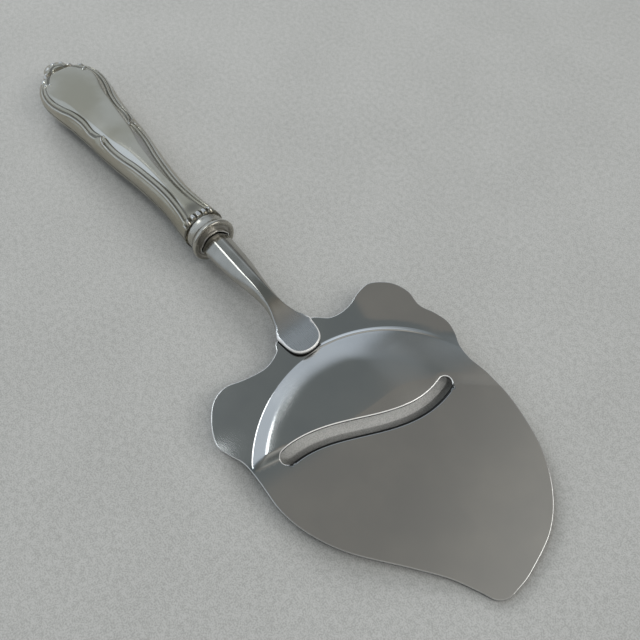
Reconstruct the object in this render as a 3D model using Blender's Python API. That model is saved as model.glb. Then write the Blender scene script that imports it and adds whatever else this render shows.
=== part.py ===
"""Cheese slicer: a pressed steel blade on a forged shank, set in a hollow silver handle.

The object lies as it would on a table: +X runs from the butt of the handle to the tip of the
blade, +Z is up, and the origin is at the middle of the footprint, on the table.
Sizes are in millimetres; MM turns them into metres. Stations of the handle are measured from its
butt, those of the shank from the mouth of the handle, and those of the blade from the neck.
"""

import math

import bmesh
import bpy
from mathutils import Vector
from mathutils.geometry import delaunay_2d_cdt

MM = 0.001
FIT = 0.3  # gap between two pieces that touch

# Handle: two stamped shells, with their half width, half height and threaded border along X
HANDLE_LENGTH = 93.4
HANDLE_HALF_WIDTH = (
    (0.0, 1.6), (1.6, 3.6), (4.0, 4.6), (6.0, 5.8), (9.0, 8.7), (12.5, 10.5), (17.0, 11.2),
    (23.0, 10.7), (31.0, 9.4), (40.0, 8.5), (48.0, 8.0), (56.0, 7.1), (64.0, 6.1), (72.0, 5.4),
    (79.0, 5.2), (85.0, 5.5), (90.0, 6.0), (93.4, 6.3),
)
HANDLE_HALF_HEIGHT = (
    (0.0, 1.2), (4.0, 2.6), (9.0, 4.0), (17.0, 5.3), (26.0, 5.9), (40.0, 6.0), (60.0, 5.6),
    (75.0, 5.2), (85.0, 5.4), (93.4, 6.0),
)
HANDLE_AXIS_HEIGHT = 6.08
HANDLE_AXIS_RISE = 2.0
HANDLE_SQUARENESS = 2.6
SHELL_SHEET = 0.9
CAVITY_START = 7.5
THREAD_OFFSET = (
    (0.0, 0.9), (9.0, 8.0), (17.0, 10.2), (25.0, 8.7), (31.0, 7.3), (40.0, 6.5), (50.0, 6.1),
    (59.0, 5.1), (66.0, 4.2), (73.0, 3.6), (79.0, 3.3), (84.0, 3.5), (93.4, 4.6),
)
THREAD_HALF_WIDTH = 0.7
THREAD_RISE = 0.35
THREAD_FADE = 9.0
SIDE_SHARES = (1.0, 0.985, 0.94)
CROWN_SHARE = 0.45

# Mouth of the handle: collar, mouth cap and shank ring
MOUTH_GAP = 0.6
COLLAR_LENGTH = 5.0
COLLAR_RADIUS = 6.9
COLLAR_WALL = 1.3
COLLAR_ROUNDING = 1.0
COLLAR_STEPS = 6
COLLAR_TILT = math.radians(2.5)
CAP_SHEET = 0.9
CAP_SETBACK = 2.2
CAP_DISH = 0.7
RING_WIDTH = 0.4
RING_LENGTH = 1.2
RING_SHOULDER = 0.6
RING_SETBACK = 0.2
RING_FIT = 0.45
MOUTH_X = HANDLE_LENGTH + MOUTH_GAP
MOUTH_RADIUS = COLLAR_RADIUS - COLLAR_WALL

# Shank: tang, stem and spade, with half width, half height and height of the middle along X
TANG_LENGTH = 34.0
TANG_HALF_WIDTH = 2.2
TANG_HALF_HEIGHT = 1.6
STEM_LENGTH = 41.0
ROOT_HALF_WIDTH = MOUTH_RADIUS - RING_WIDTH - 2.0 * RING_FIT
SPADE_HALF_WIDTH = 5.5
STEM_HALF_WIDTH = (
    (0.0, ROOT_HALF_WIDTH), (8.0, ROOT_HALF_WIDTH), (18.0, 3.7), (25.0, 2.8), (30.0, 2.4), (34.0, 2.7),
    (37.5, 3.8), (STEM_LENGTH, SPADE_HALF_WIDTH),
)
STEM_HALF_HEIGHT = (
    (0.0, 2.9), (8.0, 2.9), (18.0, 2.5), (25.0, 2.1), (31.0, 1.7), (36.0, 1.2), (STEM_LENGTH, 0.75),
)
STEM_MIDDLE = (
    (0.0, 7.95), (8.0, 8.1), (18.0, 8.4), (25.0, 8.8), (31.0, 8.6), (36.0, 8.0), (STEM_LENGTH, 7.65),
)
STEM_SQUARENESS = 3.0
STEM_STEPS = 18
SPADE_LENGTH = 8.0
SPADE_END_HALF_WIDTH = 4.6
SPADE_THICKNESS = 1.5
SPADE_SQUARENESS = 8.0
SPADE_ROUNDNESS = 5
SPADE_STATIONS = (0.25, 0.5, 0.7, 0.85, 0.94, 0.985)
NECK_X = MOUTH_X + STEM_LENGTH

# Blade: outline from the left of the neck round the tip to the right of the neck
SHEET = 1.0
BLADE_HALF_WIDTH = 34.2
BLADE_OUTLINE = (
    (-0.4, -5.2), (2.2, -7.8), (3.8, -12.4), (3.0, -18.2), (1.5, -23.8), (3.0, -28.4), (7.6, -32.2),
    (12.6, 0.1 - BLADE_HALF_WIDTH), (16.4, -33.2), (20.8, -31.6), (26.6, -31.4), (35.0, -31.6),
    (43.2, -29.6), (52.2, -25.0), (63.0, -16.6), (70.4, -11.1), (76.6, -7.8), (80.2, -6.1),
    (81.8, -3.6), (81.9, -0.4), (81.2, 4.7), (78.0, 14.6), (72.0, 22.2), (63.0, 27.9), (51.0, 31.1),
    (41.6, 31.6), (35.2, 31.0), (30.8, 31.7), (27.4, 33.4), (23.6, BLADE_HALF_WIDTH), (19.4, 33.2),
    (15.2, 31.5), (10.4, 31.8), (5.6, 29.8), (2.0, 25.2), (2.0, 21.0), (3.5, 15.6), (3.0, 10.2), (-0.4, 5.2),
)
FOLD_HEIGHT = 5.04
FOLD_X = 32.3
FOLD_TURN = math.radians(13.2)
FOLD_RUN = 4.0
LEAF_SLOPE = 0.0825
REAR_SLOPE = 0.048
WING_DROOP = 0.8
WING_DROOP_RUN = 15.0

# Slot: an S-shaped gap, with the lip behind it raised above the cutting edge in front
SLOT_X = 31.4
SLOT_SWING = 5.5
SLOT_MIDDLE_Y = -3.5
SLOT_QUARTER = 18.0
SLOT_LEFT = -22.5
SLOT_RIGHT = 21.0
SLOT_GAP = 3.5
SLOT_STEPS = 22
SLOT_END_STEPS = 5
EDGE_BEVEL = 1.3
EDGE_THICKNESS = 0.35
STEP_LEFT = (25.0, -31.4)
STEP_RIGHT = (45.0, 31.4)
STEP_RUN = 4.0
HUMP_RISE = 2.0
HUMP_FOOT_CENTRE = (43.6, -2.1)
HUMP_FOOT_RADIUS = 35.6
HUMP_TOP_CENTRE = (45.5, -6.0)
HUMP_TOP_RADIUS = 31.0

# Fineness of the meshes
SMOOTH_ANGLE = math.radians(35)
OUTLINE_STEPS = 4
GRID = 6.0
CLEAR = 1.6
BEVEL_ROOM = 0.6
MERGE = 1e-4
ARC_STEPS = 36
SLOPE_LINES = 4
TURNS = 32
RING_POINTS = 20


def clear_scene():
    for item in list(bpy.data.objects):
        bpy.data.objects.remove(item, do_unlink=True)


def material(name, colour, roughness, metallic):
    made = bpy.data.materials.new(name)
    made.use_nodes = True
    shader = made.node_tree.nodes["Principled BSDF"]
    shader.inputs["Base Color"].default_value = (*colour, 1.0)
    shader.inputs["Roughness"].default_value = roughness
    shader.inputs["Metallic"].default_value = metallic
    return made


def add_object(name, points, faces, finish):
    """One closed piece from points in millimetres, its faces turned outward."""
    mesh = bpy.data.meshes.new(name)
    mesh.from_pydata([Vector(point) * MM for point in points], [], faces)
    shape = bmesh.new()
    shape.from_mesh(mesh)
    bmesh.ops.recalc_face_normals(shape, faces=shape.faces)
    shape.to_mesh(mesh)
    shape.free()
    mesh.shade_smooth()
    mesh.set_sharp_from_angle(angle=SMOOTH_ANGLE)
    mesh.materials.append(finish)
    piece = bpy.data.objects.new(name, mesh)
    bpy.context.collection.objects.link(piece)
    return piece


def loft(name, rings, finish):
    """A solid through rings of equal count, with flat ends."""
    count = len(rings[0])
    points = [point for ring in rings for point in ring]
    faces = [tuple(range(count)), tuple(range(len(points) - count, len(points)))]
    for row in range(len(rings) - 1):
        for step in range(count):
            a = row * count + step
            b = row * count + (step + 1) % count
            faces.append((a, b, b + count, a + count))
    return add_object(name, points, faces, finish)


def hoop(name, loops, finish):
    """A closed hoop whose section is the list of loops, the last joined to the first."""
    count = len(loops[0])
    points = [point for loop in loops for point in loop]
    faces = []
    for row in range(len(loops)):
        after = (row + 1) % len(loops)
        for step in range(count):
            turn = (step + 1) % count
            faces.append((row * count + step, row * count + turn, after * count + turn, after * count + step))
    return add_object(name, points, faces, finish)


def cut(piece, cutter):
    """Takes the cutter's shape out of the piece."""
    cutter.hide_render = True
    cutter.display_type = "WIRE"
    cutter.parent = piece
    bite = piece.modifiers.new("cut", "BOOLEAN")
    bite.operation = "DIFFERENCE"
    bite.solver = "EXACT"
    bite.object = cutter


def smooth(share):
    share = min(1.0, max(0.0, share))
    return share * share * (3.0 - 2.0 * share)


def spline(before, start, end, after, share):
    """Catmull-Rom value between start and end."""
    return 0.5 * (
        2.0 * start
        + (end - before) * share
        + (2.0 * before - 5.0 * start + 4.0 * end - after) * share**2
        + (3.0 * start - before - 3.0 * end + after) * share**3
    )


def along(stations, x):
    """Value at x of a smooth line through (x, value) stations, level past its ends."""
    last = len(stations) - 1
    index = 0
    while index < last - 1 and x > stations[index + 1][0]:
        index += 1
    (x0, start), (x1, end) = stations[index], stations[index + 1]
    span = x1 - x0
    slopes = []
    for here in (index, index + 1):
        low, high = max(here - 1, 0), min(here + 1, last)
        slopes.append((stations[high][1] - stations[low][1]) / (stations[high][0] - stations[low][0]))
    share = min(1.0, max(0.0, (x - x0) / span))
    return (
        start + (end - start) * smooth(share)
        + span * share * (1.0 - share) * (slopes[0] * (1.0 - share) - slopes[1] * share)
    )


def oval(x, half_width, half_height, middle, squareness, count=RING_POINTS):
    """A ring across X: an ellipse whose sides flatten as squareness grows."""
    ring = []
    for step in range(count):
        angle = 2.0 * math.pi * (step + 0.5) / count
        side, up = math.cos(angle), math.sin(angle)
        y = half_width * math.copysign(abs(side) ** (2.0 / squareness), side)
        z = half_height * math.copysign(abs(up) ** (2.0 / squareness), up)
        ring.append((x, y, middle + z))
    return ring


# Handle

def handle_height(x):
    return HANDLE_AXIS_HEIGHT + HANDLE_AXIS_RISE * (x / HANDLE_LENGTH) ** 3


def handle_arch(x, inset, side, thread):
    """Half a section from the +Y seam over to the -Y seam; side is 1 above and -1 below."""
    width = along(HANDLE_HALF_WIDTH, x) - inset
    height = along(HANDLE_HALF_HEIGHT, x) - inset
    growth = smooth(x / THREAD_FADE)
    line = min(along(THREAD_OFFSET, x), SIDE_SHARES[-1] * width - 2.0 * THREAD_HALF_WIDTH * growth)
    band = THREAD_HALF_WIDTH * growth + FIT / 4.0
    half = [share * width for share in SIDE_SHARES]
    half += [line + band, line, line - band, CROWN_SHARE * line, 0.0]
    arch = []
    for y in half + [-value for value in half[-2::-1]]:
        up = height * (1.0 - (abs(y) / width) ** HANDLE_SQUARENESS) ** (1.0 / HANDLE_SQUARENESS)
        if thread and abs(y) == line:
            up += THREAD_RISE * growth
        arch.append((x, y, handle_height(x) + side * (up + FIT / 2.0)))
    return arch


def handle_stations(start):
    inner = [x for x, _ in HANDLE_HALF_WIDTH if start < x < HANDLE_LENGTH]
    return [start, *inner, HANDLE_LENGTH]


def tang_stations(start, end):
    return [start, *[x for x, _ in HANDLE_HALF_WIDTH if start + FIT < x < HANDLE_LENGTH], end]


def handle_shell(name, side, finish):
    outer = [handle_arch(x, 0.0, side, True) for x in handle_stations(0.0)]
    shell = loft(name, outer, finish)
    hollow = []
    for x in [*handle_stations(CAVITY_START), HANDLE_LENGTH + SHELL_SHEET]:
        arch = handle_arch(x, SHELL_SHEET, side, False)
        below = handle_height(x) - side * SHELL_SHEET
        hollow.append([*arch, (x, arch[-1][1], below), (x, arch[0][1], below)])
    cut(shell, loft(name + "_hollow", hollow, finish))
    return shell


def handle_core(finish):
    inset = SHELL_SHEET + FIT
    rings = []
    for x in handle_stations(CAVITY_START + FIT):
        width, height = along(HANDLE_HALF_WIDTH, x) - inset, along(HANDLE_HALF_HEIGHT, x) - inset
        rings.append(oval(x, width, height, handle_height(x), HANDLE_SQUARENESS))
    core = loft("handle_core", rings, finish)
    pocket = [
        oval(x, TANG_HALF_WIDTH + FIT, TANG_HALF_HEIGHT + FIT, handle_height(x), SPADE_SQUARENESS)
        for x in tang_stations(MOUTH_X - TANG_LENGTH - FIT, MOUTH_X)
    ]
    cut(core, loft("handle_core_pocket", pocket, finish))
    return core


# Mouth of the handle

def circle(x, radius):
    return oval(x, radius, radius, 0.0, 2.0, TURNS)


def root_section(x, grow):
    """The shank's section near its root, grown all round, in the frame of the mouth."""
    width = along(STEM_HALF_WIDTH, x) + grow
    height = along(STEM_HALF_HEIGHT, x) + grow
    middle = along(STEM_MIDDLE, x) - handle_height(MOUTH_X)
    return oval(x, width, height, middle, STEM_SQUARENESS, TURNS)


def collar(finish):
    """A round drum with rounded rims, open at both ends."""
    loops = [circle(0.0, MOUTH_RADIUS), circle(0.0, COLLAR_RADIUS - COLLAR_ROUNDING)]
    for step in range(1, COLLAR_STEPS):
        angle = math.pi * step / COLLAR_STEPS
        x = 0.5 * COLLAR_LENGTH * (1.0 - math.cos(angle))
        loops.append(circle(x, COLLAR_RADIUS - COLLAR_ROUNDING * (1.0 - math.sin(angle))))
    loops += [circle(COLLAR_LENGTH, COLLAR_RADIUS - COLLAR_ROUNDING), circle(COLLAR_LENGTH, MOUTH_RADIUS)]
    return hoop("collar", loops, finish)


def mouth_cap(finish):
    """A thin dished disc that closes the mouth round the shank."""
    front = COLLAR_LENGTH - CAP_SETBACK
    loops = [
        circle(front - CAP_SHEET, MOUTH_RADIUS - FIT),
        circle(front, MOUTH_RADIUS - FIT),
        root_section(front - CAP_DISH, RING_FIT),
        root_section(front - CAP_DISH - CAP_SHEET, RING_FIT),
    ]
    return hoop("mouth_cap", loops, finish)


def shank_ring(finish):
    """A small bead that trims the shank where it leaves the mouth."""
    rear = COLLAR_LENGTH - CAP_SETBACK + RING_SETBACK
    shoulder = RING_FIT + RING_SHOULDER * RING_WIDTH
    loops = [
        root_section(rear, RING_FIT),
        root_section(rear, shoulder),
        root_section(rear + RING_LENGTH / 2.0, RING_FIT + RING_WIDTH),
        root_section(rear + RING_LENGTH, shoulder),
        root_section(rear + RING_LENGTH, RING_FIT),
    ]
    return hoop("shank_ring", loops, finish)


# Shank

def spade_half_width(share):
    """Half width of the spade, tapering to a rounded end; share runs from its neck to its end."""
    taper = SPADE_HALF_WIDTH + (SPADE_END_HALF_WIDTH - SPADE_HALF_WIDTH) * share
    return taper * math.sqrt(1.0 - share**SPADE_ROUNDNESS)


def shank(finish):
    """One forging: the tang inside the handle, the stem and the spade that lies on the blade."""
    rings = []
    shoulder = MOUTH_X + FIT
    for x in tang_stations(MOUTH_X - TANG_LENGTH, shoulder):
        rings.append(oval(x, TANG_HALF_WIDTH, TANG_HALF_HEIGHT, handle_height(x), SPADE_SQUARENESS))
    start = shoulder + FIT - MOUTH_X
    for step in range(STEM_STEPS + 1):
        share = step / STEM_STEPS
        x = start + (STEM_LENGTH - start) * share
        square = STEM_SQUARENESS + (SPADE_SQUARENESS - STEM_SQUARENESS) * smooth(2.0 * share - 1.0)
        width, height = along(STEM_HALF_WIDTH, x), along(STEM_HALF_HEIGHT, x)
        rings.append(oval(MOUTH_X + x, width, height, along(STEM_MIDDLE, x), square))
    for share in SPADE_STATIONS:
        x = SPADE_LENGTH * share
        half = SPADE_THICKNESS / 2.0
        middle = blade_top(x, 0.0) + FIT + half
        rings.append(oval(NECK_X + x, spade_half_width(share), half, middle, SPADE_SQUARENESS))
    return loft("shank", rings, finish)


# Blade

def slot_line(y):
    """X of the middle of the slot at y."""
    return SLOT_X + SLOT_SWING * math.sin(0.5 * math.pi * (y - SLOT_MIDDLE_Y) / SLOT_QUARTER)


def slot_middle():
    points = []
    for step in range(SLOT_STEPS + 1):
        y = SLOT_LEFT + (SLOT_RIGHT - SLOT_LEFT) * step / SLOT_STEPS
        points.append(Vector((slot_line(y), y)))
    return points


def offset_line(points, offset):
    """The line moved sideways, towards the tip for a positive offset."""
    moved = []
    for index, point in enumerate(points):
        low, high = points[max(index - 1, 0)], points[min(index + 1, len(points) - 1)]
        run = (high - low).normalized()
        moved.append(point + offset * Vector((run.y, -run.x)))
    return moved


def half_turn(centre, start):
    """Points of a half circle from start round to the far side, clockwise, without its ends."""
    arm = start - centre
    side = Vector((arm.y, -arm.x))
    angles = [math.pi * step / SLOT_END_STEPS for step in range(1, SLOT_END_STEPS)]
    return [centre + arm * math.cos(angle) + side * math.sin(angle) for angle in angles]


def slot_outline():
    """The closed edge of the slot: rear lip, right end, cutting edge, left end."""
    middle = slot_middle()
    rear, front = offset_line(middle, -SLOT_GAP / 2.0), offset_line(middle, SLOT_GAP / 2.0)
    return rear + half_turn(middle[-1], rear[-1]) + front[::-1] + half_turn(middle[0], front[0])


def blade_outline():
    """The control points joined by smooth curves, with a straight edge across the neck."""
    points, count = [], len(BLADE_OUTLINE)
    for index in range(count - 1):
        near = [Vector(BLADE_OUTLINE[(index + shift) % count]) for shift in (-1, 0, 1, 2)]
        points += [spline(*near, step / OUTLINE_STEPS) for step in range(OUTLINE_STEPS)]
    return points + [Vector(BLADE_OUTLINE[-1])]


def segment_distance(point, start, end):
    run = end - start
    share = min(1.0, max(0.0, (point - start).dot(run) / run.length_squared))
    return (point - start - run * share).length


def is_behind_slot(x, y):
    """True on the handle's side of the slot and of the two steps beyond its ends."""
    if SLOT_LEFT <= y <= SLOT_RIGHT:
        return x < slot_line(y)
    end_y, (step_x, step_y) = (SLOT_LEFT, STEP_LEFT) if y < SLOT_LEFT else (SLOT_RIGHT, STEP_RIGHT)
    end_x = slot_line(end_y)
    return x < end_x + (step_x - end_x) * (y - end_y) / (step_y - end_y)


def hump(x, y):
    """Height of the raised half moon behind the slot."""
    point = Vector((x, y))
    inside = HUMP_FOOT_RADIUS - (point - Vector(HUMP_FOOT_CENTRE)).length
    if inside <= 0.0 or not is_behind_slot(x, y):
        return 0.0
    beyond = max(0.0, (point - Vector(HUMP_TOP_CENTRE)).length - HUMP_TOP_RADIUS)
    rise = HUMP_RISE * smooth(inside / (inside + beyond))
    for end_y, step_end in ((SLOT_LEFT, STEP_LEFT), (SLOT_RIGHT, STEP_RIGHT)):
        end = Vector((slot_line(end_y), end_y))
        rise *= smooth(segment_distance(point, end, Vector(step_end)) / STEP_RUN)
    return rise


def past_fold(ahead):
    """How far a point lies past the fold, which bends over FOLD_RUN to each side."""
    if abs(ahead) < FOLD_RUN:
        return (ahead + FOLD_RUN) ** 2 / (4.0 * FOLD_RUN)
    return max(0.0, ahead)


def blade_top(x, y):
    """Height of the upper face of the sheet: rear plate, fold, leaf and hump."""
    ahead = (x - FOLD_X) * math.cos(FOLD_TURN) - y * math.sin(FOLD_TURN)
    height = FOLD_HEIGHT - REAR_SLOPE * ahead - (LEAF_SLOPE - REAR_SLOPE) * past_fold(ahead)
    droop = WING_DROOP * (y / BLADE_HALF_WIDTH) ** 2 * smooth(-ahead / WING_DROOP_RUN)
    return height - droop + hump(x, y)


def is_inside(point, polygon):
    inside = False
    for start, end in zip(polygon, polygon[1:] + polygon[:1]):
        if (start.y > point.y) != (end.y > point.y):
            if point.x < start.x + (end.x - start.x) * (point.y - start.y) / (end.y - start.y):
                inside = not inside
    return inside


def blade_points(outline, slot):
    """Points on the sheet: its edges, the edge bevel, the hump's foot, slope and top, and a plain grid."""
    points = outline + slot
    edges = [(index, (index + 1) % len(outline)) for index in range(len(outline))]
    first = len(outline)
    edges += [(first + index, first + (index + 1) % len(slot)) for index in range(len(slot))]
    bevel = offset_line(slot_middle(), SLOT_GAP / 2.0 + EDGE_BEVEL)
    inner = []
    foot, top = Vector(HUMP_FOOT_CENTRE), Vector(HUMP_TOP_CENTRE)
    for line in range(SLOPE_LINES + 1):
        share = line / SLOPE_LINES
        centre = foot.lerp(top, share)
        radius = HUMP_FOOT_RADIUS + (HUMP_TOP_RADIUS - HUMP_FOOT_RADIUS) * share
        for step in range(ARC_STEPS):
            angle = math.pi * (0.5 + step / ARC_STEPS)
            inner.append(centre + radius * Vector((math.cos(angle), math.sin(angle))))
    columns = int(max(point.x for point in outline) / GRID)
    rows = int(BLADE_HALF_WIDTH / GRID)
    for column in range(columns + 1):
        for row in range(-rows, rows + 1):
            inner.append(Vector((column * GRID, (row + 0.5 * (column % 2)) * GRID)))
    for wanted, room in ((bevel, BEVEL_ROOM), (inner, CLEAR)):
        for point in wanted:
            if is_inside(point, outline) and not is_inside(point, slot):
                if min((point - other).length for other in points) > room:
                    points = points + [point]
    return points, edges


def blade(finish):
    """Sheet cut to its outline and slot, pressed to shape, with the cutting edge ground thin."""
    outline, slot = blade_outline(), slot_outline()
    points, edges = blade_points(outline, slot)
    plan, _, triangles, _, _, _ = delaunay_2d_cdt(points, edges, [], 0, MERGE)
    kept = []
    for triangle in triangles:
        middle = sum((plan[index] for index in triangle), Vector((0.0, 0.0))) / 3.0
        if is_inside(middle, outline) and not is_inside(middle, slot):
            kept.append(tuple(triangle))
    cutting_edge = offset_line(slot_middle(), SLOT_GAP / 2.0)
    upper, lower = [], []
    for point in plan:
        height = blade_top(point.x, point.y)
        ground = min((point - edge_point).length for edge_point in cutting_edge) / EDGE_BEVEL
        thinned = 0.0 if is_behind_slot(point.x, point.y) else max(0.0, 1.0 - ground)
        upper.append((point.x, point.y, height - (SHEET - EDGE_THICKNESS) * thinned))
        lower.append((point.x, point.y, height - SHEET))
    count = len(plan)
    faces = kept + [tuple(index + count for index in triangle) for triangle in kept]
    sides = {pair for triangle in kept for pair in zip(triangle, triangle[1:] + triangle[:1])}
    faces += [(a, b, b + count, a + count) for a, b in sorted(sides) if (b, a) not in sides]
    return add_object("blade", upper + lower, faces, finish)


clear_scene()
base = bpy.data.objects.new("cheese_slicer", None)
bpy.context.collection.objects.link(base)
base.location = (-(NECK_X + max(point.x for point in blade_outline())) / 2.0 * MM, 0.0, 0.0)

for part in (
    handle_shell("handle_shell_upper", 1, material("upper_silver", (0.72, 0.70, 0.66), 0.24, 1.0)),
    handle_shell("handle_shell_lower", -1, material("lower_silver", (0.70, 0.68, 0.64), 0.26, 1.0)),
    handle_core(material("core_cement", (0.36, 0.32, 0.27), 0.90, 0.0)),
    shank(material("shank_steel", (0.60, 0.60, 0.60), 0.18, 1.0)),
):
    part.parent = base
for part in (
    collar(material("collar_silver", (0.74, 0.72, 0.68), 0.20, 1.0)),
    mouth_cap(material("cap_silver", (0.62, 0.60, 0.57), 0.24, 1.0)),
    shank_ring(material("ring_silver", (0.76, 0.75, 0.72), 0.18, 1.0)),
):
    part.location = Vector((MOUTH_X, 0.0, handle_height(MOUTH_X))) * MM
    part.rotation_euler = (0.0, -COLLAR_TILT, 0.0)
    part.parent = base
sheet = blade(material("blade_steel", (0.56, 0.56, 0.54), 0.16, 1.0))
sheet.location = (NECK_X * MM, 0.0, 0.0)
sheet.parent = base
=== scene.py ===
"""Cheese slicer: a pressed steel blade on a forged shank, in a hollow silver handle on a pale table."""
import math

import bpy
import numpy as np
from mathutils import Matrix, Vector
from mathutils.geometry import delaunay_2d_cdt


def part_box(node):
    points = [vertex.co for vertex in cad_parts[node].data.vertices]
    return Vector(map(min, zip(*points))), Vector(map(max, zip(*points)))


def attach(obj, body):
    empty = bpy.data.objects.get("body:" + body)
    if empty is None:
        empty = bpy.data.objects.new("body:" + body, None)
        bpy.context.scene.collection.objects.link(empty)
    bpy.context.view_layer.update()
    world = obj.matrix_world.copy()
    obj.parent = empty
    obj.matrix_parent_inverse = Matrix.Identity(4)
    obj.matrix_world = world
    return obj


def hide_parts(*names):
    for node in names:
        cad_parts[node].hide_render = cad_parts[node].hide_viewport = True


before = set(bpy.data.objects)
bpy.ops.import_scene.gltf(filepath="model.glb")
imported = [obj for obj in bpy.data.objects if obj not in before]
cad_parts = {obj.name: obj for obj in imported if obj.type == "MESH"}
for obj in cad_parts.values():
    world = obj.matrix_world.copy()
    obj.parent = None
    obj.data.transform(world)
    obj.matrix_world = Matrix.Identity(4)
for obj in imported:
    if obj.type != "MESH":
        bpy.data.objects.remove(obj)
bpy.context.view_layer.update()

# Blade
# One stainless sheet, blanked to a scalloped outline with an S-shaped slot, then pressed: a half moon is
# raised behind the slot, the leaf in front is folded down, and the front of the slot is ground to an edge.
# It is welded to the shank. Sizes are in mm: X forward of the neck, Y right as seen from the tip, Z up.

# A hair's breadth keeps each piece inside the box of the frame
MM, HAIR, TINY = 0.001, 0.04, 1e-6
MOUTH_GAP, STEM_LENGTH = 0.6, 41.0
NECK_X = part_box("handle_shell_upper")[1][0] / MM + MOUTH_GAP + STEM_LENGTH

# The outline, from the left of the neck round the tip to its right
SHEET, BLADE_HALF_WIDTH = 1.0, 34.2
BLADE_OUTLINE = (
    (-0.4, -5.2), (2.2, -7.8), (3.8, -12.4), (3.0, -18.2), (1.5, -23.8), (3.0, -28.4), (7.6, -32.2),
    (12.6, -34.1), (16.4, -33.2), (20.8, -31.6), (26.6, -31.4), (35.0, -31.6), (43.2, -29.6),
    (52.2, -25.0), (63.0, -16.6), (70.4, -11.1), (76.6, -7.8), (80.2, -6.1), (81.8, -3.6), (81.9, -0.4),
    (81.2, 4.7), (78.0, 14.6), (72.0, 22.2), (63.0, 27.9), (51.0, 31.1), (41.6, 31.6), (35.2, 31.0),
    (30.8, 31.7), (27.4, 33.4), (23.6, 34.2), (19.4, 33.2), (15.2, 31.5), (10.4, 31.8), (5.6, 29.8),
    (2.0, 25.2), (2.0, 21.0), (3.5, 15.6), (3.0, 10.2), (-0.4, 5.2),
)

# The fold across the sheet, the droop of both wings and the upturn of the right one
FOLD_HEIGHT, FOLD_X, FOLD_TURN, FOLD_RUN = 5.04, 32.3, math.radians(13.2), 4.0
LEAF_SLOPE, REAR_SLOPE = 0.0825, 0.048
WING_DROOP, WING_DROOP_RUN = 0.8, 15.0
UPTURN_START, UPTURN_SLOPE, UPTURN_ROUNDING, UPTURN_LEFT, UPTURN_RUN = 3.0, 0.12, 0.8, 13.0, 7.0

# The slot, its ground edge, and the steps past its ends, where the half moon comes down to the leaf
SLOT_X, SLOT_SWING, SLOT_MIDDLE_Y, SLOT_QUARTER = 31.4, 5.5, -3.5, 18.0
SLOT_LEFT, SLOT_RIGHT, SLOT_GAP = -22.5, 21.0, 3.5
EDGE_BEVEL, EDGE_THICKNESS, BEVEL_LINES = 0.8, 0.4, (0.8, 0.9, 1.0, 1.2)
LEFT, RIGHT = 0, 1
STEP_ENDS, STEP_RUNS = ((24.0, -31.4), (45.0, 31.4)), (2.6, 3.0)
STEP_LINES = (-0.15, 0.0, 0.15, 0.3, 0.5, 0.7, 0.85, 1.0, 1.15)

# The half moon: how high it is, its round foot and top, and how steep it is at shares of its slope
HUMP_RISE, HUMP_REAR_RISE, HUMP_REAR_X, HUMP_FRONT_X = 1.54, 1.2, 8.0, 20.0
HUMP_RIGHT_FALL, HUMP_RIGHT_START, HUMP_RIGHT_RUN = 0.9, 5.0, 17.0
HUMP_FOOT_CENTRE, HUMP_FOOT_RADIUS = (43.6, -2.1), 35.6
HUMP_TOP_CENTRE, HUMP_TOP_RADIUS = (41.2, -3.8), 25.1
LEFT_SLOPES = ((0.0, 0.0), (0.07, 1.0), (0.38, 1.0), (0.54, 0.12), (1.0, 0.0))
REAR_SLOPES = ((0.0, 0.0), (0.03, 1.0), (0.3, 0.95), (1.0, 0.0))
REAR_START, REAR_RUN, CLIMB_STEPS = -21.0, 10.0, 4001
SLOPE_LINES = (
    -0.14, -0.11, -0.08, -0.055, -0.03, -0.012, 0.0, 0.012, 0.024, 0.036, 0.06, 0.08, 0.12, 0.2, 0.3,
    0.36, 0.4, 0.44, 0.48, 0.52, 0.56, 0.6, 0.7, 0.8, 0.9, 1.0,
)

# The bead along its foot, and the flat dent behind the right half of the slot
BEAD_HEIGHT, BEAD_OUTSIDE, BEAD_INSIDE = 0.2, 1.0, 0.25
BEAD_START, BEAD_END, BEAD_FADE = -0.1, 1.1, 0.35
DENT_WIDTHS = ((-5.0, 0.0), (1.6, 2.7), (6.9, 4.5), (10.7, 5.1), (14.8, 4.2), (18.1, 2.0), (20.1, 0.0))
DENT_SLOPE, DENT_ROUNDING, DENT_LINES = 0.05, 0.15, (-0.25, -0.08, 0.08, 0.25)
DENT_LINE_START, DENT_LINE_END = -2.0, 18.5

# The rounding of the rims, and how fine the mesh is
RIM_RADIUS, RIM_SHARE, RIM_TURNS = 0.3, 0.35, (60, 30, 0)
OUTLINE_STEPS, SLOT_STEPS, SLOT_END_STEPS, TABLE_STEPS = 8, 64, 10, 8
FINE, COARSE, EDGE_ROOM, ROW_SHARE, SAME_POINT, TRIMMED = 0.55, 1.2, 0.5, 0.866, 1e-5, slice(2, -2)


def smooth(share):
    """Eases from 0 to 1 as share goes from 0 to 1."""
    share = np.clip(share, 0.0, 1.0)
    return share * share * (3.0 - 2.0 * share)


def stretch(t, start, run, end, fade):
    """Eases from 0 to 1 over a run from start, and back to 0 over a fade from end."""
    return smooth((t - start) / run) * (1.0 - smooth((t - end) / fade))


def bump(t, centre, half):
    """A rounded rise, 1 at the centre and 0 from half on."""
    return np.maximum(0.0, 1.0 - ((t - centre) / half) ** 2) ** 2


def soft_ramp(t, rounding):
    """0 before t = 0 and t after it, with the corner rounded."""
    return 0.5 * (t + np.sqrt(t * t + rounding * rounding))


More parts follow.
